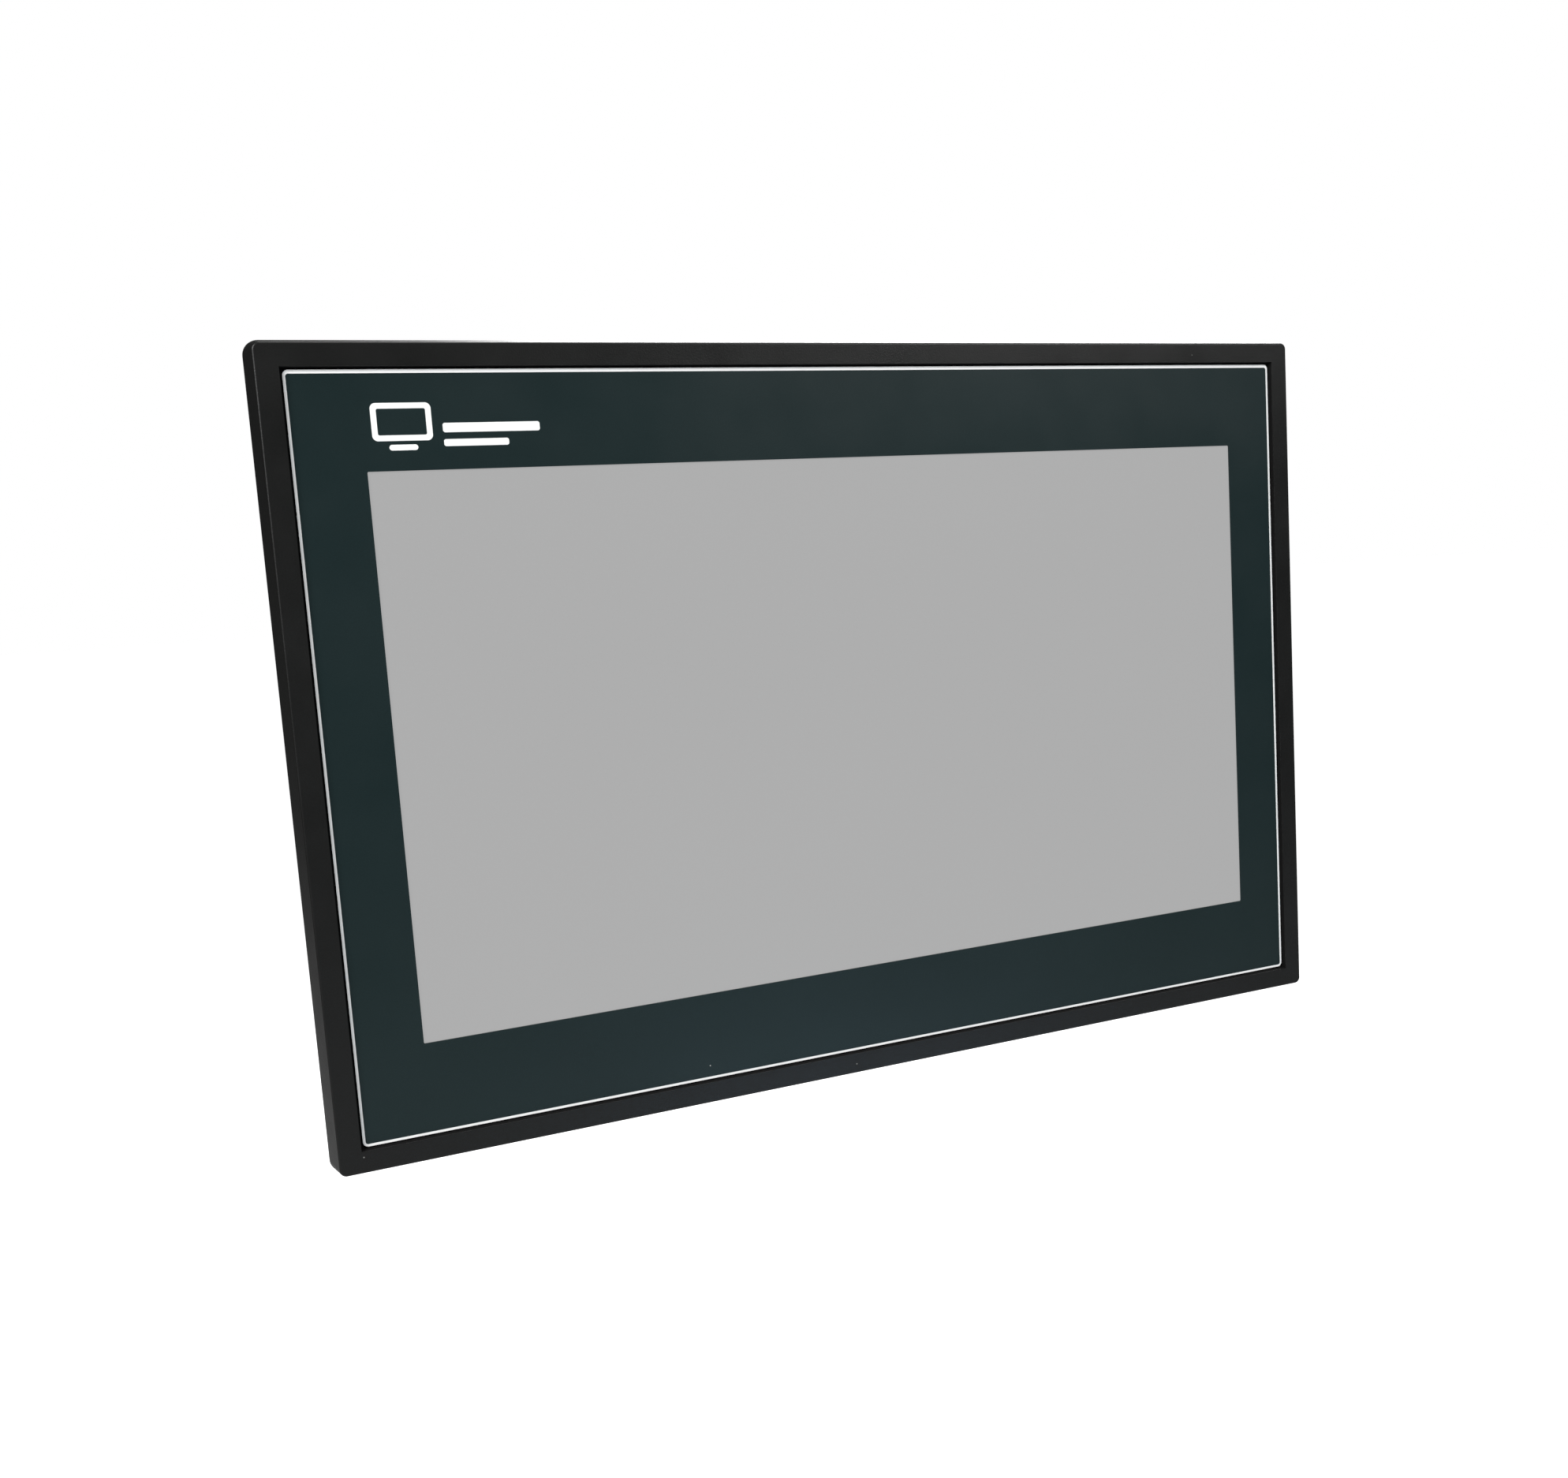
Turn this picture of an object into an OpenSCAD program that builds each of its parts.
// Operator touch panel: a widescreen display in a flush bezel that seats in a cabinet door's cut-out.
// +X is to the operator's right, +Z is up, and the screen faces -Y.
// The origin is the middle of the panel seat, the plane where the seal meets the door's front.

/* [Screen] */
// Width of the window over the display
window_w = 223.6; // [215:0.1:280]
// Height of the window over the display
window_h = 125.8; // [105:0.1:160]
// Corner radius of the window in the overlay
window_r = 0.3; // [0.2:0.1:3]
// Sideways place of the window in the overlay
window_shift_x = 0.8; // [-0.9:0.1:0.9]
// Height of the window's middle above the overlay's
window_shift_y = -0.2; // [-0.9:0.1:0.9]
// Overlay shown at each side of the window
side_margin = 14.2; // [13:0.1:20]
// Overlay shown above and below the window
end_margin = 21.1; // [18:0.1:26]
// Thickness of the overlay film
overlay_t = 0.4; // [0.2:0.05:0.6]
// Corner radius of the overlay film
overlay_r = 1.2; // [0.5:0.1:4]
// Thickness of the laminated touch panel
touch_t = 2.0; // [1.2:0.1:3]
// Thickness of the foam between touch panel and display
spacer_t = 1.0; // [0.5:0.1:1.5]
// Thickness of the display module
lcd_t = 4.8; // [4.2:0.1:7]

/* [Bezel] */
// Width of the flat rim around the overlay
rim_w = 5.0; // [4.6:0.1:9]
// Thickness of the bezel in front of the seat
bezel_t = 8.0; // [6.5:0.1:9]
// How far the overlay lies below the rim
overlay_drop = 1.2; // [0.4:0.1:2]
// Gap between overlay edge and rim
overlay_gap = 0.5; // [0.2:0.1:1]
// Outer corner radius of the bezel
bezel_r = 1.6; // [1:0.1:8]
// Radius rolled along the front edge
edge_r = 0.5; // [0.2:0.1:0.9]
// Outward draft of the bezel's side over its thickness
bezel_draft = 1.8; // [0:0.1:2.5]

/* [Seal] */
// Width of the seal's cord
seal_w = 3.0; // [2:0.1:4]
// Depth of the groove that holds the seal
groove_d = 1.6; // [1:0.1:2]
// How far the seal stands proud of the flange
seal_proud = 0.4; // [0.2:0.1:0.8]

/* [Housing] */
// Lap of the flange over the rear body at each side
flange_lap = 5.5; // [5:0.1:9]
// Depth of the housing behind the seat
housing_depth = 38; // [36:0.5:60]
// Wall of the housing and of the bezel's skirt
wall = 2.4; // [2:0.1:3.2]
// Depth at which bezel and housing meet
joint_d = 4.2; // [4.1:0.1:6]
// Corner radius of the housing
housing_r = 7; // [6.5:0.5:12]
// Radius rolled along the housing's rear edge
housing_edge = 5.6; // [2:0.1:6]
// Clearance between the rear body and the cut-out
cutout_clear = 0.5; // [0.3:0.1:1]

/* [Board] */
// Width of the main board
board_w = 208; // [204:1:214]
// Height of the main board
board_h = 112; // [100:1:130]
// Thickness of the main board
board_t = 1.6; // [1:0.1:2]
// Space between chassis plate and main board
spacer_h = 8; // [4:0.5:10]

/* [Clamps] */
// Distance from the body's side to each clamp's middle
clamp_inset = 18; // [17:0.5:24]
// Thread radius of the clamp screws
clamp_thread_r = 2.0; // [1.5:0.1:2.2]
// Travel of the press foot
foot_travel = 7; // [4:0.5:7.5]
// Sideways travel of a clamp to its wide slot
unhook_travel = 5; // [4:0.5:6]

/* [Fits] */
// Gap around parts that slide past each other
slide_gap = 0.3; // [0.2:0.05:0.5]
// Radial gap of screws and pins that turn
run_gap = 0.05; // [0.02:0.01:0.1]
// Gap between stacked parts that don't move
rest_gap = 0.3; // [0.1:0.05:0.5]

/* [Hidden] */
$fn = 48;
eps = 0.01;
roll_step = 10;

// Outlines
overlay_w = window_w + 2 * side_margin;
overlay_h = window_h + 2 * end_margin;
recess_w = overlay_w + 2 * overlay_gap;
recess_h = overlay_h + 2 * overlay_gap;
bezel_w = recess_w + 2 * rim_w;
bezel_h = recess_h + 2 * rim_w;
body_w = bezel_w - 2 * flange_lap;
body_h = bezel_h - 2 * flange_lap;
inner_w = body_w - 2 * wall;
inner_h = body_h - 2 * wall;
inner_r = housing_r - wall;

// Stations along the depth, positive towards the rear, zero at the panel seat
flange_d = -seal_proud;
front_d = flange_d - bezel_t;
overlay_front = front_d + overlay_drop;
ledge_d = overlay_front + overlay_t;
touch_back = ledge_d + touch_t;
floor_d = touch_back + spacer_t;
lcd_back = floor_d + lcd_t;

// Display stack
touch_border_x = 6;
touch_border_y = 7;
touch_w = window_w + 2 * touch_border_x;
touch_h = window_h + 2 * touch_border_y;
lcd_border_x = 6.1;
lcd_border_y = 8.9;
lcd_w = window_w + 2 * lcd_border_x;
lcd_h = window_h + 2 * lcd_border_y;
lcd_sheet = 0.3;
lcd_opening = 2;
cell_t = 1.4;
films_t = 0.6;
cell_d = floor_d + lcd_sheet;
films_d = cell_d + cell_t;
guide_d = films_d + films_t;
guide_back = lcd_back - lcd_sheet;
spacer_lip = 2;
led_bar_h = 3;
led_count = 24;
led_size = [3.5, 1.2];
led_strip = 0.6;
led_margin = 8;

// Fasteners
screw_r = 1.25;
head_r = 2.8;
head_t = 2;
column_r = 4.3;
column_bite = 0.5;
tunnel_r = head_r + rest_gap;
column_foot = 4;
pilot_len = 5;
shaft_gap = 0.3;
driver_w = 0.8;
driver_t = 0.9;
screw_x = inner_w / 2 - column_r + column_bite;
screw_y = inner_h / 2 - column_r + column_bite;
mid_screw_x = 42;
HOUSING_SCREWS = [for (sx = [-1, 1], sy = [-1, 1]) [sx * screw_x, sy * screw_y],
                  for (sx = [-1, 1]) [sx * mid_screw_x, screw_y]];
CHASSIS_SCREWS = [for (x = [-80, 0, 80], sy = [-1, 1]) [x, sy * screw_y]];

// Chassis and board
chassis_t = 1;
chassis_gap = 1;
chassis_w = 2 * (screw_x - column_r - chassis_gap);
chassis_h = inner_h - 2 * chassis_gap;
chassis_windows = [-72, 24, 72];
chassis_window = [30, 36, 4];
chassis_back = lcd_back + chassis_t;
board_d = chassis_back + spacer_h;
board_back = board_d + board_t;
board_bottom = -inner_h / 2 + 3.2;
board_top = board_bottom + board_h;
board_y = board_bottom + board_h / 2;
board_inset = 4;
spacer_r = 3;
BOARD_SCREWS = [for (sx = [-1, 1], y = [board_bottom + board_inset, board_y, board_top - board_inset - 1])
                [sx * (board_w / 2 - board_inset), y]];

// Parts on the board
cpu_x = -8;
cpu_y = board_y + 14;
cpu_size = [19, 19, 1.6];
sink_w = 30;
sink_base = 2.5;
sink_h = 9;
fin_count = 8;
fin_t = 1.2;
chip_size = [10.5, 13, 1.1];
chip_pitch = [14, 18];
chip_x = cpu_x + 28;
can_r = 5;
can_h = 12.5;
can_pitch = 13;
coil_size = [12, 12, 7];
coil_pitch = 18;
buzzer_x = 84;
buzzer_y = board_y + 34;
buzzer_r = 6;
buzzer_h = 7.5;
buzzer_port_r = 1;

// Ribbons: where each leaves the display stack, climbs and lands
ribbon_t = 0.3;
ribbon_plug = [4, 5, 1.2];
lcd_cable_w = 32;
lcd_cable_x = -30;
lcd_cable_y = lcd_h / 2 - 9.5;
lcd_cable_land = board_top - 14;
touch_cable_w = 8;
touch_cable_x = 60;
touch_cable_lap = 1;
touch_cable_y = touch_h / 2 + 2.4;
touch_cable_land = board_top - 12;
tail_play = 3;
tail_reach = 4;

// Connector row: along the bottom of the board, mouths level with the housing's underside
underside = -body_h / 2;
mouth_y = underside + 0.2;
power_x = -80;
serial_x = [-50, -14];
ethernet_x = 16;
usb_host_x = 36;
usb_client_x = 53;
card_x = 75;
switch_x = 93;
pole_pitch = 5.08;
header_wall = 1.1;
header_floor = 2.6;
header_size = [3 * pole_pitch + 2 * header_wall + 1, 12, 10.4];
header_mid = board_back + header_size[2] / 2;
blade_w = 1;
blade_setback = 1.4;
serial_face = [30.8, 1, 12.5];
serial_body = [19.2, 15, 11];
serial_nose = 6;
serial_mid = board_back + serial_face[2] / 2;
nose_corner = 1.6;
nose_top = 6.9;
nose_foot = 5.9;
nose_half_h = 2.4;
pin_pitch = 2.77;
pin_row = 1.42;
pin_r = 0.55;
pin_depth = 4;
jack_pitch = 24.99;
jack_r = 2.7;
jack_bore = 1.42;
jack_len = 5;
ethernet_size = [16, 21, 13.5];
jack_hole = [11.8, 14, 8.4];
jack_floor = 2.6;
latch_groove = [4, 1.6];
contact_pitch = 1.02;
usb_host_size = [13.2, 14, 5.9];
usb_client_size = [7.8, 9.2, 4];
card_size = [24, 32, 2.1];
card_proud = 1;
card_skin = 0.5;
card_notch = 5;
socket_size = [card_size[0] + 2 * (slide_gap + card_skin), card_size[1] + 1.2,
               card_size[2] + 2 * (slide_gap + card_skin)];
switch_size = [6, 5, 6];
switch_setback = 4.6;
switch_bore = 3.5;
switch_mid = board_back + switch_size[2] / 2;
button_r = 1.7;
button_proud = 0.9;
button_travel = 0.8;
button_overtravel = 0.5;
cut_reach = 4;

// Power plug
plug_w = 3 * pole_pitch;
plug_len = 11;
plug_t = 10.2;
plug_gap = 0.6;
nose_len = 8.4;
plug_front = board_back + 0.4;
plug_rear = plug_front + plug_t;
plug_top = underside - plug_gap;
cage_travel = 1.6;
cage_size = [3.3, 3.6, 4.7];
cage_d = plug_front + 1.1;
cage_y = plug_top - 4.2;
cage_floor = 0.7;
wire_hole = [3, 3.2];
terminal_r = 1.2;
terminal_head_r = 1.9;
terminal_head_t = 1.6;
terminal_head_gap = 0.15;
terminal_slot = 0.6;

// Rear hatch over the coin cell
hatch_x = 62;
hatch_y = -18;
hatch_w = 44;
hatch_h = 36;
hinge_r = wall / 2;
pivot_r = 0.7;
pivot_len = 1.8;
hatch_frame = 2.6;
hinge_y = hatch_y - hatch_h / 2 + slide_gap + hinge_r;
hinge_d = housing_depth - hinge_r;
grip_count = 5;
grip_pitch = 1.8;
grip_w = 14;
catch_size = [8, 1, 3];
cell_x = hatch_x - 2;
cell_y = hatch_y;
coin_r = 10;
coin_t = 3.2;
coin_gap = 0.15;
holder_wall = 1.6;
holder_floor = 1.2;
holder_notch = [12, 8];

// Rating label
label_w = 92;
label_h = 50;
label_t = 0.3;
label_x = -52;
label_y = -26;
label_sink = 0.1;

// Vents: slots through the top wall, and three columns of slots in the rear
top_vent_w = 3;
top_vent_pitch = 7;
top_vent_steps = 9;
rear_vent_size = [50, 2.6, 1.2];
rear_vent_x = 72;
rear_vent_pitch = 6;
rear_vent_rows = 7;
rear_vent_top = inner_h / 2 - 14;

// Mounting clamps: two on top and two below, given by the side and the face they hook into
clamp_x = body_w / 2 - clamp_inset;
CLAMPS = [[-1, 1], [1, 1], [-1, -1], [1, -1]];
clamp_w = 10;
base_t = 2;
clamp_front = 12;
lug_len = 6;
clamp_len = 20;
axis_v = 5.6;
lug_v = axis_v + 3;
neck = 3;
hook_head = 5.4;
hook_t = 1.4;
HOOKS = [clamp_front + 4, clamp_front + clamp_len - 4];
foot_r = 3;
foot_t = 2.5;
foot_front = clamp_front - 1 - foot_t;
tip_r = 1.2;
tip_len = 1.5;
tip_gap = 0.2;
clamp_head_r = 2.9;
clamp_head_t = 3;
clamp_slot = [0.9, 1.4];

// Seal
seal_in = cutout_clear + 0.8;
seal_squeeze = 0.1;

// ---- Shapes that repeat. Sizes run right, up and rearwards. ----

// Turns a flat layout, viewed from the front, upright.
module upright() rotate([90, 0, 0]) children();

// A box centred at x, y between two depths.
module slab(w, h, from, to, x = 0, y = 0)
    translate([x - w / 2, y - h / 2, -to]) cube([w, h, to - from]);

// A round bar along the depth.
module peg(r, from, to, x = 0, y = 0)
    translate([x, y, -to]) cylinder(r = r, h = to - from);

// A round bar along the height.
module post(r, y0, y1, x, d)
    translate([x, y0, -d]) rotate([-90, 0, 0]) cylinder(r = r, h = y1 - y0);

// A slab with round corners.
module round_slab(w, h, r, from, to, x = 0, y = 0) {
    slab(w, h - 2 * r, from, to, x, y);
    slab(w - 2 * r, h, from, to, x, y);
    for (sx = [-1, 1], sy = [-1, 1])
        peg(r, from, to, x + sx * (w / 2 - r), y + sy * (h / 2 - r));
}

// Half of a block's section at its edge: square at the seat, rolled over at the far face.
module edge_section(r, t, edge, flare)
    polygon(concat([[0, t], [0, 0], [r + flare, 0]],
                   [for (a = [0:roll_step:90]) [r - edge + edge * cos(a), t - edge + edge * sin(a)]]));

// A block on the plane z = 0 with round corners and a rolled edge on its top face.
module rolled_block(w, h, r, t, edge, flare = 0) {
    slab(w - 2 * r, h - 2 * r, -t, 0);
    for (k = [0:3]) rotate(90 * k) {
        long = k % 2 == 0 ? h : w;
        wide = k % 2 == 0 ? w : h;
        translate([wide / 2 - r, long / 2 - r, 0])
            rotate_extrude(angle = 90) edge_section(r, t, edge, flare);
        translate([wide / 2 - r, long / 2 - r, 0])
            rotate([90, 0, 0]) linear_extrude(long - 2 * r) edge_section(r, t, edge, flare);
    }
}

// A pan-head screw that stands on a face at depth d and reaches forward.
module pan_screw(x, y, d, reach, r = screw_r) {
    difference() {
        peg(head_r, d, d + head_t, x, y);
        for (a = [0, 90])
            translate([x, y, -d - head_t]) rotate(a)
                cube([2 * (head_r - 1), driver_w, 2 * driver_t], center = true);
    }
    peg(r, d - reach, d + eps, x, y);
}

// A box standing on the board, its mouth at the underside of the housing.
module on_board(size, x, grow = 0, past = 0)
    slab(size[0] + 2 * grow, size[1] + past, board_back - grow, board_back + size[2] + grow,
         x, mouth_y + size[1] / 2 - past / 2);

// A stamped socket: a shell with a cavity from its mouth.
module shell_port(size, x, skin, deep) {
    difference() {
        on_board(size, x);
        slab(size[0] - 2 * skin, 2 * deep, board_back + skin, board_back + size[2] - skin, x, mouth_y);
    }
}

// ---- Front ----

module front_bezel() color([0.09, 0.09, 0.09]) upright()
    difference() {
        union() {
            translate([0, 0, -flange_d]) rolled_block(bezel_w, bezel_h, bezel_r, bezel_t, edge_r, bezel_draft);
            round_slab(body_w, body_h, housing_r, flange_d - 1, joint_d);
        }
        slab(recess_w, recess_h, front_d - 1, ledge_d);
        slab(touch_w + 2 * rest_gap, touch_h + 2 * rest_gap, front_d, floor_d + eps);
        touch_tail(tail_play);
        seal_ring(seal_squeeze, flange_d - groove_d);
        difference() {
            round_slab(inner_w, inner_h, inner_r, floor_d, joint_d + 1);
            for (p = HOUSING_SCREWS) peg(column_r, floor_d - 1, joint_d, p[0], p[1]);
            for (p = CHASSIS_SCREWS) peg(column_r, floor_d - 1, lcd_back, p[0], p[1]);
        }
        for (p = HOUSING_SCREWS) peg(screw_r, floor_d - 1, joint_d + 1, p[0], p[1]);
        for (p = CHASSIS_SCREWS) peg(screw_r, floor_d - 1, lcd_back + 1, p[0], p[1]);
    }

module overlay_film() color([0.14, 0.2, 0.21]) upright()
    difference() {
        round_slab(overlay_w, overlay_h, overlay_r, overlay_front, ledge_d);
        round_slab(window_w, window_h, window_r, overlay_front - 1, ledge_d + 1,
                   window_shift_x, window_shift_y);
    }

module touch_panel() color([0.68, 0.68, 0.68]) upright()
    slab(touch_w, touch_h, ledge_d, touch_back);

module touch_spacer() color([0.1, 0.1, 0.1]) upright()
    difference() {
        slab(touch_w, touch_h, touch_back, floor_d);
        slab(window_w + 2 * spacer_lip, window_h + 2 * spacer_lip, touch_back - 1, floor_d + 1);
        touch_tail(2 * rest_gap, touch_cable_lap + rest_gap);
    }

// ---- Display module ----

module lcd_frame() color([0.75, 0.76, 0.78]) upright()
    difference() {
        slab(lcd_w, lcd_h, floor_d, lcd_back - lcd_sheet);
        slab(lcd_w - 2 * lcd_sheet, lcd_h - 2 * lcd_sheet, floor_d + lcd_sheet, lcd_back);
        slab(window_w + lcd_opening, window_h + lcd_opening, floor_d - 1, lcd_back);
    }

module lcd_layer(from, to, cut = 0)
    slab(lcd_w - 4 * lcd_sheet, lcd_h - 4 * lcd_sheet - cut, from, to, 0, cut / 2);

module lcd_cell() color([0.2, 0.22, 0.24]) upright() lcd_layer(cell_d, films_d);

module optical_films() color([0.93, 0.94, 0.95]) upright() lcd_layer(films_d, guide_d);

module light_guide() color([0.85, 0.9, 0.92]) upright() lcd_layer(guide_d, guide_back, led_bar_h);

module led_bar() color([0.95, 0.9, 0.6]) upright() {
    y = -lcd_h / 2 + 2 * lcd_sheet;
    pitch = (lcd_w - led_margin) / led_count;
    slab(lcd_w - led_margin + 2, led_strip, guide_d + 0.2, guide_back - 0.2, 0, y + led_strip / 2);
    for (i = [0:led_count - 1])
        slab(led_size[0], led_size[1], guide_d + 0.5, guide_back - 0.5,
             (i - (led_count - 1) / 2) * pitch, y + led_strip + led_size[1] / 2 - eps);
}

module lcd_tray() color([0.7, 0.71, 0.73]) upright()
    slab(lcd_w, lcd_h, lcd_back - lcd_sheet, lcd_back);

// A ribbon that leaves the display, climbs past the chassis and lands on the board.
module ribbon(w, x, y0, y_climb, y_land, from) {
    t = ribbon_t;
    top = board_back + ribbon_plug[2];
    translate([x - w / 2, 0, 0]) rotate([90, 0, 90]) linear_extrude(w)
        polygon([[y0, -from], [y_climb + t, -from], [y_climb + t, -top - t], [y_land, -top - t],
                 [y_land, -top], [y_climb, -top], [y_climb, -from - t], [y0, -from - t]]);
    slab(w + ribbon_plug[0], ribbon_plug[1], board_back, top, x, y_land + ribbon_plug[1] / 2);
}

module lcd_cable() color([0.75, 0.5, 0.2]) upright()
    ribbon(lcd_cable_w, lcd_cable_x, lcd_cable_y, lcd_cable_y, lcd_cable_land, lcd_back);

// The way for the touch panel's ribbon past its upper edge.
module touch_tail(play, lap = 0)
    slab(touch_cable_w + play, tail_reach + lap, touch_back - 0.5, floor_d + 1, touch_cable_x,
         touch_h / 2 + (tail_reach - lap) / 2);

module touch_cable() color([0.72, 0.48, 0.2]) upright()
    ribbon(touch_cable_w, touch_cable_x, touch_h / 2 - touch_cable_lap, touch_cable_y, touch_cable_land,
           touch_back);

// ---- Chassis and board ----

module chassis_plate() color([0.72, 0.73, 0.74]) upright()
    difference() {
        slab(chassis_w, chassis_h, lcd_back, chassis_back);
        for (p = CHASSIS_SCREWS) peg(screw_r + shaft_gap, lcd_back - 1, chassis_back + 1, p[0], p[1]);
        for (sx = [-1, 1])
            peg(column_r + 2 * rest_gap, lcd_back - 1, chassis_back + 1, sx * mid_screw_x, screw_y);
        slab(lcd_cable_w + ribbon_plug[0], 8, lcd_back - 1, chassis_back + 1, lcd_cable_x, lcd_cable_y);
        slab(touch_cable_w + ribbon_plug[0], 14, lcd_back - 1, chassis_back + 1, touch_cable_x,
             touch_cable_y + 1.6);
        for (x = chassis_windows)
            round_slab(chassis_window[0], chassis_window[1], chassis_window[2], lcd_back - 1,
                       chassis_back + 1, x, 20);
    }

module chassis_screws() color([0.8, 0.8, 0.82]) upright()
    for (p = CHASSIS_SCREWS) pan_screw(p[0], p[1], chassis_back, pilot_len);

module board_spacers() color([0.8, 0.68, 0.35]) upright()
    for (p = BOARD_SCREWS)
        difference() {
            translate([p[0], p[1], -board_d]) cylinder(r = spacer_r, h = spacer_h, $fn = 6);
            peg(screw_r, chassis_back - 1, board_d + 1, p[0], p[1]);
        }

module main_board() color([0.08, 0.32, 0.16]) upright()
    difference() {
        slab(board_w, board_h, board_d, board_back, 0, board_y);
        for (p = BOARD_SCREWS) peg(screw_r + shaft_gap, board_d - 1, board_back + 1, p[0], p[1]);
    }

module board_screws() color([0.8, 0.8, 0.82]) upright()
    for (p = BOARD_SCREWS) pan_screw(p[0], p[1], board_back, board_t + pilot_len - 1);

module processor() color([0.1, 0.1, 0.11]) upright()
    slab(cpu_size[0], cpu_size[1], board_back, board_back + cpu_size[2], cpu_x, cpu_y);

module heatsink() color([0.16, 0.17, 0.18]) upright() {
    base = board_back + cpu_size[2];
    pitch = (sink_w - fin_t) / (fin_count - 1);
    slab(sink_w, sink_w, base, base + sink_base, cpu_x, cpu_y);
    for (i = [0:fin_count - 1])
        slab(fin_t, sink_w, base + sink_base - eps, base + sink_h,
             cpu_x + (i - (fin_count - 1) / 2) * pitch, cpu_y);
}

module memory_chips() color([0.12, 0.12, 0.13]) upright()
    for (i = [0, 1], j = [-0.5, 0.5])
        slab(chip_size[0], chip_size[1], board_back, board_back + chip_size[2],
             chip_x + i * chip_pitch[0], cpu_y + j * chip_pitch[1]);

module capacitors() color([0.15, 0.16, 0.3]) upright()
    for (i = [0:2])
        peg(can_r, board_back, board_back + can_h, power_x - 6 + can_pitch * i, board_y - 18);

module inductors() color([0.25, 0.25, 0.26]) upright()
    for (i = [0, 1])
        round_slab(coil_size[0], coil_size[1], 2.5, board_back, board_back + coil_size[2],
                   power_x - 4 + coil_pitch * i, board_y);

module buzzer() color([0.06, 0.06, 0.06]) upright()
    difference() {
        peg(buzzer_r, board_back, board_back + buzzer_h, buzzer_x, buzzer_y);
        peg(buzzer_port_r, board_back + 5, board_back + buzzer_h + 1, buzzer_x, buzzer_y);
    }

module battery_holder() color([0.1, 0.1, 0.1]) upright() {
    bottom = board_back + holder_floor;
    difference() {
        peg(coin_r + holder_wall, board_back, bottom + coin_t, cell_x, cell_y);
        peg(coin_r + coin_gap, bottom, bottom + coin_t + 1, cell_x, cell_y);
        slab(holder_notch[0], holder_notch[1], bottom, bottom + coin_t + 1, cell_x, cell_y + coin_r);
    }
}

module coin_cell() color([0.82, 0.82, 0.84]) upright()
    peg(coin_r, board_back + holder_floor, board_back + holder_floor + coin_t, cell_x, cell_y);

// ---- Connectors ----

module power_header() color([0.1, 0.4, 0.2]) upright() {
    cavity = header_size[1] - header_floor;
    difference() {
        on_board(header_size, power_x);
        slab(header_size[0] - 2 * header_wall, 2 * cavity, board_back + header_wall,
             board_back + header_size[2] - header_wall, power_x, mouth_y);
    }
    for (i = [-1:1])
        slab(blade_w, cavity - blade_setback + eps, header_mid - blade_w / 2, header_mid + blade_w / 2,
             power_x + i * pole_pitch, mouth_y + (cavity + blade_setback + eps) / 2);
}

module serial_port(x) upright() {
    pins = [for (i = [-2:2]) [i * pin_pitch, pin_row], for (i = [-1.5:1.5]) [i * pin_pitch, -pin_row]];
    on_board(serial_face, x);
    translate([0, serial_face[1], 0]) on_board(serial_body, x);
    translate([x, mouth_y + eps, -serial_mid]) rotate([90, 0, 0])
        difference() {
            linear_extrude(serial_nose)
                hull() for (sx = [-1, 1], p = [[nose_top, nose_half_h], [nose_foot, -nose_half_h]])
                    translate([sx * p[0], p[1]]) circle(nose_corner, $fn = 32);
            for (p = pins) translate([p[0], p[1], serial_nose - pin_depth]) cylinder(r = pin_r, h = 5);
        }
}

module serial_port_1() color([0.75, 0.76, 0.78]) serial_port(serial_x[0]);

module serial_port_2() color([0.75, 0.76, 0.78]) serial_port(serial_x[1]);

module jack_nuts() color([0.82, 0.8, 0.7]) upright()
    for (x = serial_x, sx = [-1, 1])
        translate([x + sx * jack_pitch / 2, mouth_y, -serial_mid])
            rotate([90, 0, 0]) difference() {
                cylinder(r = jack_r, h = jack_len, $fn = 6);
                translate([0, 0, -1]) cylinder(r = jack_bore, h = jack_len + 2);
            }

module ethernet_port() color([0.78, 0.79, 0.8]) upright() {
    difference() {
        on_board(ethernet_size, ethernet_x);
        slab(jack_hole[0], 2 * jack_hole[1], board_back + jack_floor, board_back + jack_floor + jack_hole[2],
             ethernet_x, mouth_y);
        slab(latch_groove[0], 2 * jack_hole[1], board_back + jack_floor - latch_groove[1],
             board_back + jack_floor + 0.4, ethernet_x, mouth_y);
    }
    for (i = [0:7])
        slab(0.4, 7, board_back + 9.4, board_back + 9.8, ethernet_x + (i - 3.5) * contact_pitch,
             mouth_y + jack_hole[1] - 3.4);
}

module usb_host_port() color([0.78, 0.79, 0.8]) upright() {
    shell_port(usb_host_size, usb_host_x, 0.4, 12);
    slab(11, 10, board_back + 3.3, board_back + 5, usb_host_x, mouth_y + 7.5);
}

module usb_client_port() color([0.78, 0.79, 0.8]) upright() {
    shell_port(usb_client_size, usb_client_x, 0.35, 8);
    slab(5, 6.6, board_back + 1.6, board_back + 2.4, usb_client_x, mouth_y + 5);
}

module card_socket() color([0.76, 0.77, 0.78]) upright()
    shell_port(socket_size, card_x, card_skin, card_size[1] - card_proud + slide_gap);

module memory_card() color([0.08, 0.12, 0.35]) upright()
    difference() {
        from = board_back + card_skin + slide_gap;
        slab(card_size[0], card_size[1], from, from + card_size[2], card_x,
             mouth_y - card_proud + card_size[1] / 2);
        translate([card_x + card_size[0] / 2, mouth_y - card_proud + card_size[1], -from])
            rotate(45) cube([card_notch, card_notch, 9], center = true);
    }

module system_switch() color([0.12, 0.12, 0.12]) upright()
    difference() {
        translate([0, switch_setback, 0]) on_board(switch_size, switch_x);
        post(button_r + 2 * run_gap, mouth_y, mouth_y + switch_setback + switch_bore, switch_x, switch_mid);
    }

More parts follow.
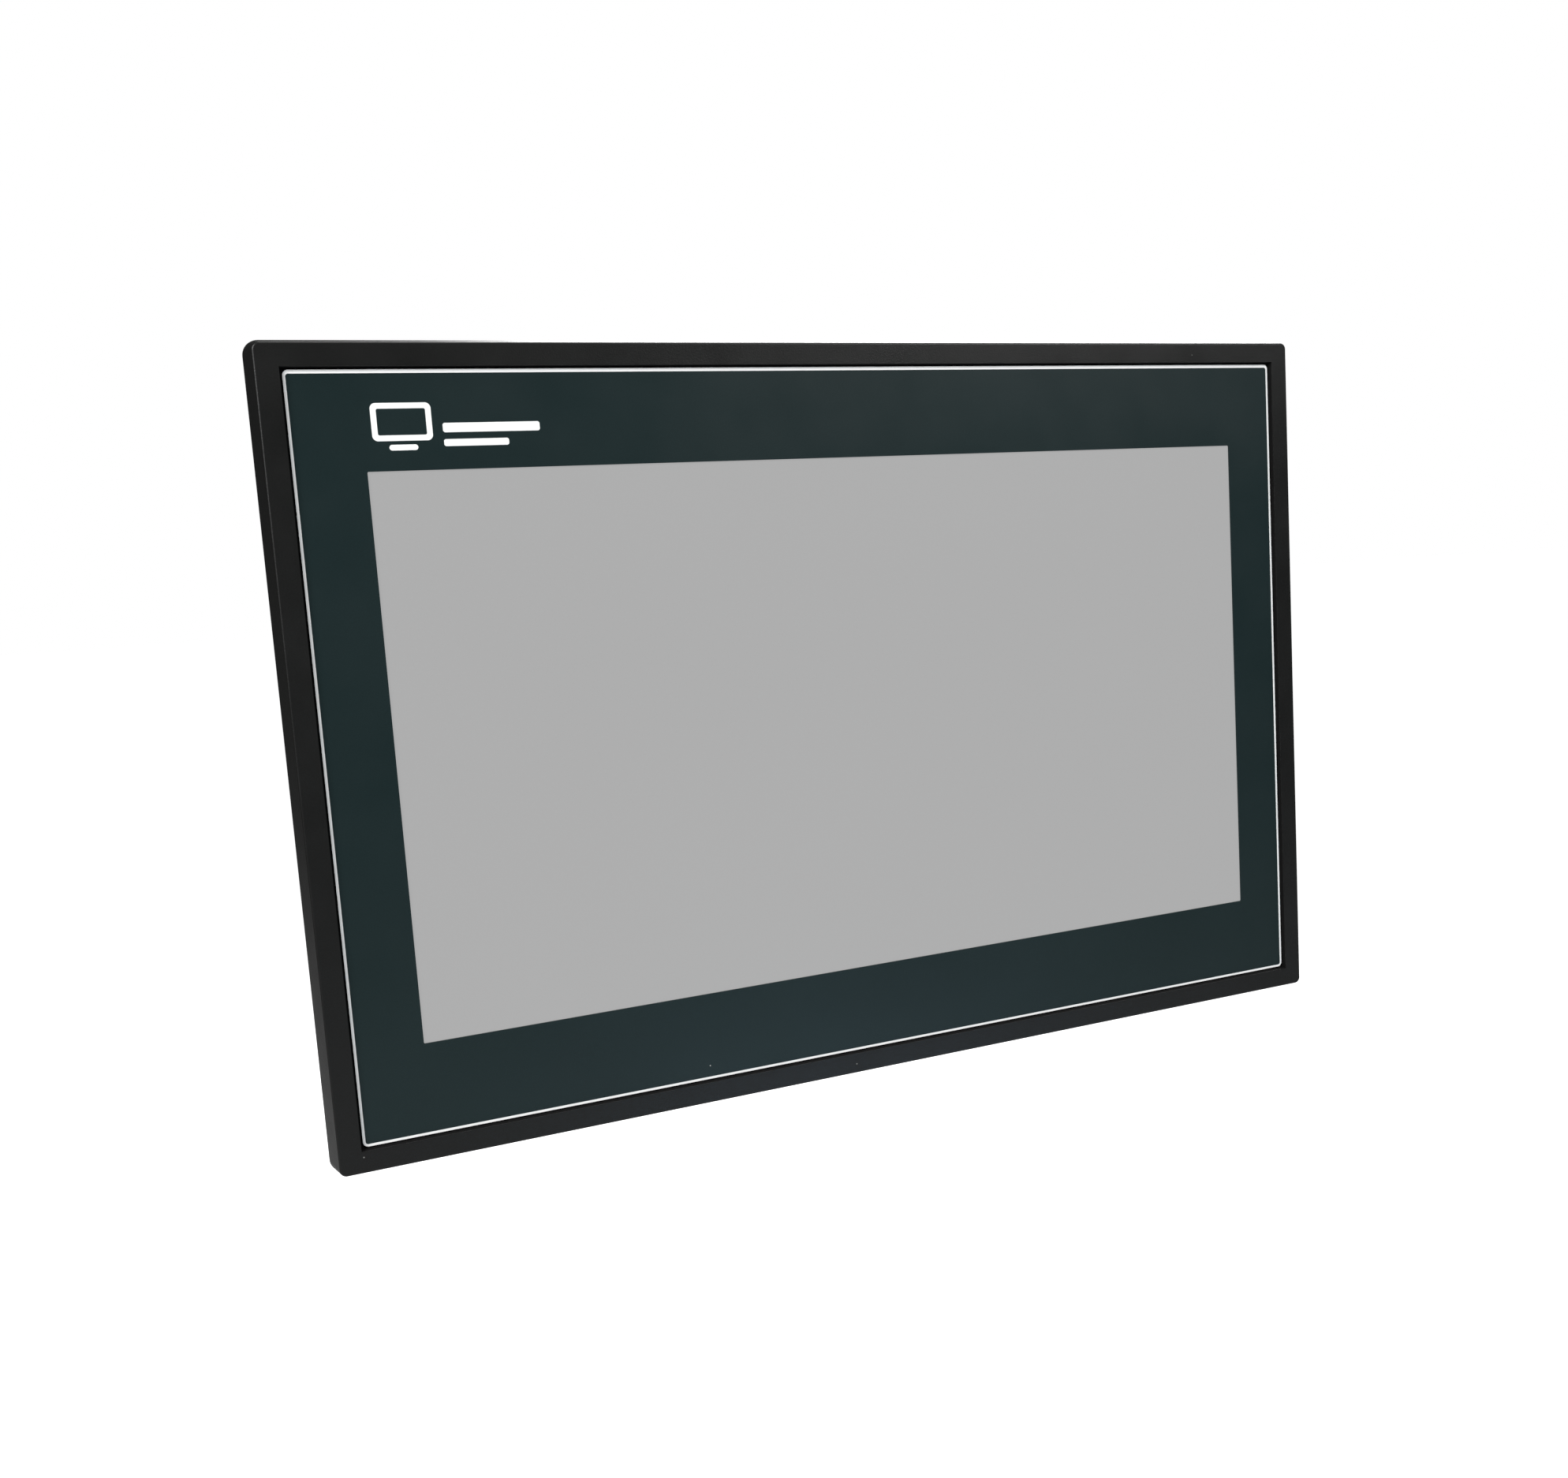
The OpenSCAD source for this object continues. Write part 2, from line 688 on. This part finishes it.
module system_button() color([0.85, 0.85, 0.85]) upright()
    post(button_r, underside - button_proud,
         mouth_y + switch_setback + switch_bore - button_travel - button_overtravel, switch_x, switch_mid);

// ---- Power plug ----

module terminal_plug() color([0.1, 0.5, 0.25]) upright() {
    nose_t = header_size[2] - 2 * header_wall - 2 * slide_gap;
    nose_w = header_size[0] - 2 * header_wall - 2 * slide_gap;
    difference() {
        union() {
            slab(plug_w, plug_len, plug_front, plug_rear, power_x, plug_top - plug_len / 2);
            slab(nose_w, nose_len + eps, header_mid - nose_t / 2, header_mid + nose_t / 2, power_x,
                 plug_top + nose_len / 2 - eps / 2);
        }
        for (i = [-1:1]) {
            x = power_x + i * pole_pitch;
            slab(blade_w + 0.8, 8, header_mid - 0.9, header_mid + 0.9, x, plug_top + nose_len - 3);
            slab(cage_size[0] + 2 * slide_gap, cage_size[1] + 2 * slide_gap, cage_d - slide_gap,
                 cage_d + cage_size[2] + cage_travel + slide_gap, x, cage_y);
            slab(wire_hole[0], plug_len, cage_d + 0.4, cage_d + 0.4 + wire_hole[1], x, cage_y - plug_len / 2);
            peg(terminal_r + run_gap, cage_d, plug_rear + 1, x, cage_y);
            peg(terminal_head_r + terminal_head_gap, plug_rear - terminal_head_t - 0.2, plug_rear + 1,
                x, cage_y);
        }
    }
}

module terminal_screw(i) color([0.8, 0.8, 0.8]) upright() {
    x = power_x + i * pole_pitch;
    head = plug_rear - terminal_head_t;
    difference() {
        peg(terminal_head_r, head, plug_rear, x, cage_y);
        slab(5, terminal_slot, plug_rear - driver_t, plug_rear + 1, x, cage_y);
    }
    peg(terminal_r, cage_d + 3, head + eps, x, cage_y);
}

module terminal_cage(i) color([0.82, 0.7, 0.4]) upright() {
    x = power_x + i * pole_pitch;
    difference() {
        slab(cage_size[0], cage_size[1], cage_d, cage_d + cage_size[2], x, cage_y);
        slab(cage_size[0] - 1, 5, cage_d + cage_floor, cage_d + cage_floor + 2.6, x, cage_y);
        peg(terminal_r + run_gap, cage_d + 1, cage_d + 6, x, cage_y);
    }
}

module terminal_screw_1() terminal_screw(-1);
module terminal_screw_2() terminal_screw(0);
module terminal_screw_3() terminal_screw(1);
module terminal_cage_1() terminal_cage(-1);
module terminal_cage_2() terminal_cage(0);
module terminal_cage_3() terminal_cage(1);

// ---- Seal and rear housing ----

module seal_ring(grow, from) {
    r_in = housing_r + seal_in;
    w = body_w + 2 * seal_in;
    h = body_h + 2 * seal_in;
    difference() {
        round_slab(w + 2 * seal_w + 2 * grow, h + 2 * seal_w + 2 * grow, r_in + seal_w + grow, from, 0);
        round_slab(w - 2 * grow, h - 2 * grow, r_in - grow, from - 1, 1);
    }
}

module panel_seal() color([0.05, 0.05, 0.05]) upright() seal_ring(0, flange_d - groove_d);

module rear_housing() color([0.12, 0.12, 0.12]) upright()
    difference() {
        union() {
            difference() {
                translate([0, 0, -joint_d]) mirror([0, 0, 1])
                    rolled_block(body_w, body_h, housing_r, housing_depth - joint_d, housing_edge);
                round_slab(inner_w, inner_h, inner_r, joint_d - 1, housing_depth - wall);
            }
            for (p = HOUSING_SCREWS) peg(column_r, joint_d, housing_depth - 1, p[0], p[1]);
            slab(hatch_w + 2 * hatch_frame, hatch_h + 2 * hatch_frame, housing_depth - wall - 2,
                 housing_depth - wall + eps, hatch_x, hatch_y);
        }
        for (p = HOUSING_SCREWS) {
            peg(screw_r + shaft_gap, joint_d - 1, housing_depth, p[0], p[1]);
            peg(tunnel_r, joint_d + column_foot, housing_depth + 1, p[0], p[1]);
        }
        top_vents();
        rear_vents();
        connector_cuts();
        for (c = CLAMPS) clamp_slots(c);
        slab(label_w + 2 * rest_gap, label_h + 2 * rest_gap, housing_depth - label_t - label_sink,
             housing_depth + 1, label_x, label_y);
        hatch_cut();
    }

module top_vents()
    for (i = [-top_vent_steps:top_vent_steps])
        slab(top_vent_w, 4 * wall, joint_d + 8, housing_depth - 10, top_vent_pitch * i, body_h / 2);

module rear_vents()
    for (k = [-1:1], i = [0:rear_vent_rows - 1])
        round_slab(rear_vent_size[0], rear_vent_size[1], rear_vent_size[2], housing_depth - 2 * wall,
                   housing_depth + 1, k * rear_vent_x, rear_vent_top - rear_vent_pitch * i);

module connector_cuts() {
    on_board(header_size, power_x, rest_gap, cut_reach);
    for (x = serial_x) on_board([serial_face[0], 2 * wall, serial_face[2]], x, rest_gap, cut_reach);
    on_board(ethernet_size, ethernet_x, rest_gap, cut_reach);
    on_board(usb_host_size, usb_host_x, rest_gap, cut_reach);
    on_board(usb_client_size, usb_client_x, rest_gap, cut_reach);
    on_board(socket_size, card_x, rest_gap, cut_reach);
    post(button_r + rest_gap, underside - 1, underside + wall + 1, switch_x, switch_mid);
}

// The hatch opening, with blind bores at its foot for the cover's pivots.
module hatch_cut() {
    slab(hatch_w, hatch_h, housing_depth - 3 * wall, housing_depth + 1, hatch_x, hatch_y);
    hatch_pivots(pivot_r + run_gap, hatch_w / 2 + pivot_len + slide_gap);
}

module hatch_pivots(r, reach)
    translate([hatch_x - reach, hinge_y, -hinge_d]) rotate([0, 90, 0]) cylinder(r = r, h = 2 * reach);

module battery_cover() color([0.13, 0.13, 0.13]) upright() {
    w = hatch_w - 2 * slide_gap;
    top = hatch_y + hatch_h / 2 - slide_gap;
    difference() {
        union() {
            slab(w, top - hinge_y, housing_depth - wall, housing_depth, hatch_x, (top + hinge_y) / 2);
            hatch_pivots(hinge_r, w / 2);
        }
        for (i = [0:grip_count - 1])
            slab(grip_w, 0.8, housing_depth - 0.6, housing_depth + 1, hatch_x, top - 4 - grip_pitch * i);
    }
    hatch_pivots(pivot_r, hatch_w / 2 + pivot_len);
    slab(catch_size[0], catch_size[1], housing_depth - wall - catch_size[2], housing_depth - wall + eps,
         hatch_x, top - catch_size[1] / 2);
}

module rating_label() color([0.85, 0.86, 0.87]) upright()
    slab(label_w, label_h, housing_depth - label_t - label_sink, housing_depth - label_sink,
         label_x, label_y);

module housing_screws() color([0.8, 0.8, 0.82]) upright()
    for (p = HOUSING_SCREWS) pan_screw(p[0], p[1], joint_d + column_foot, column_foot + pilot_len);

// ---- Mounting clamps ----

// Puts a clamp, drawn above a wall at height zero, on its place on the housing.
module clamp_place(c)
    translate([c[0] * clamp_x, c[1] * body_h / 2, 0])
        mirror([0, c[1] < 0 ? 1 : 0, 0]) mirror([c[0] < 0 ? 1 : 0, 0, 0]) children();

// Keyhole slots: narrow where a hook locks, wide where it lifts out, towards the middle.
module clamp_slots(c)
    clamp_place(c)
        for (d = HOOKS) {
            slab(neck + 2 * slide_gap + unhook_travel, 4 * wall, d - neck / 2 - slide_gap,
                 d + neck / 2 + slide_gap, -unhook_travel / 2, 0);
            slab(neck + 2 * slide_gap, 4 * wall, d - hook_head / 2 - slide_gap,
                 d + hook_head / 2 + slide_gap, -unhook_travel, 0);
        }

module clamp(c) color([0.7, 0.71, 0.72]) upright() clamp_place(c)
    difference() {
        union() {
            slab(clamp_w, base_t, clamp_front, clamp_front + clamp_len, 0, slide_gap + base_t / 2);
            slab(clamp_w, lug_v - slide_gap, clamp_front, clamp_front + lug_len, 0, (lug_v + slide_gap) / 2);
            for (d = HOOKS) {
                slab(neck, wall + 2 * slide_gap + hook_t, d - neck / 2, d + neck / 2, 0,
                     slide_gap - (wall + 2 * slide_gap + hook_t) / 2 + eps);
                slab(neck, hook_t, d - hook_head / 2, d + hook_head / 2, 0,
                     -wall - slide_gap - hook_t / 2);
            }
        }
        peg(clamp_thread_r + run_gap, clamp_front - 1, clamp_front + lug_len + 1, 0, axis_v);
    }

module clamp_foot(c) color([0.1, 0.1, 0.1]) upright() clamp_place(c)
    difference() {
        peg(foot_r, foot_front, foot_front + foot_t, 0, axis_v);
        peg(tip_r + run_gap, foot_front + foot_t - tip_len - tip_gap, foot_front + foot_t + 1, 0, axis_v);
    }

module clamp_screw(c) color([0.78, 0.78, 0.8]) upright() clamp_place(c) {
    shoulder = foot_front + foot_t + tip_gap;
    head = clamp_front + lug_len + 2 * rest_gap + foot_travel;
    peg(tip_r, shoulder - tip_len, shoulder + eps, 0, axis_v);
    peg(clamp_thread_r, shoulder, head + eps, 0, axis_v);
    difference() {
        peg(clamp_head_r, head, head + clamp_head_t, 0, axis_v);
        slab(8, clamp_slot[0], head + clamp_head_t - clamp_slot[1], head + clamp_head_t + 1, 0, axis_v);
    }
}

module clamp_1() clamp(CLAMPS[0]);
module clamp_2() clamp(CLAMPS[1]);
module clamp_3() clamp(CLAMPS[2]);
module clamp_4() clamp(CLAMPS[3]);
module clamp_foot_1() clamp_foot(CLAMPS[0]);
module clamp_foot_2() clamp_foot(CLAMPS[1]);
module clamp_foot_3() clamp_foot(CLAMPS[2]);
module clamp_foot_4() clamp_foot(CLAMPS[3]);
module clamp_screw_1() clamp_screw(CLAMPS[0]);
module clamp_screw_2() clamp_screw(CLAMPS[1]);
module clamp_screw_3() clamp_screw(CLAMPS[2]);
module clamp_screw_4() clamp_screw(CLAMPS[3]);

front_bezel();
overlay_film();
touch_panel();
touch_spacer();
lcd_frame();
lcd_cell();
optical_films();
light_guide();
led_bar();
lcd_tray();
chassis_plate();
chassis_screws();
board_spacers();
main_board();
board_screws();
processor();
heatsink();
memory_chips();
capacitors();
inductors();
buzzer();
battery_holder();
coin_cell();
power_header();
serial_port_1();
serial_port_2();
jack_nuts();
ethernet_port();
usb_host_port();
usb_client_port();
card_socket();
memory_card();
system_switch();
system_button();
lcd_cable();
touch_cable();
panel_seal();
rear_housing();
housing_screws();
battery_cover();
rating_label();
terminal_plug();
terminal_screw_1();
terminal_screw_2();
terminal_screw_3();
terminal_cage_1();
terminal_cage_2();
terminal_cage_3();
clamp_1();
clamp_2();
clamp_3();
clamp_4();
clamp_foot_1();
clamp_foot_2();
clamp_foot_3();
clamp_foot_4();
clamp_screw_1();
clamp_screw_2();
clamp_screw_3();
clamp_screw_4();
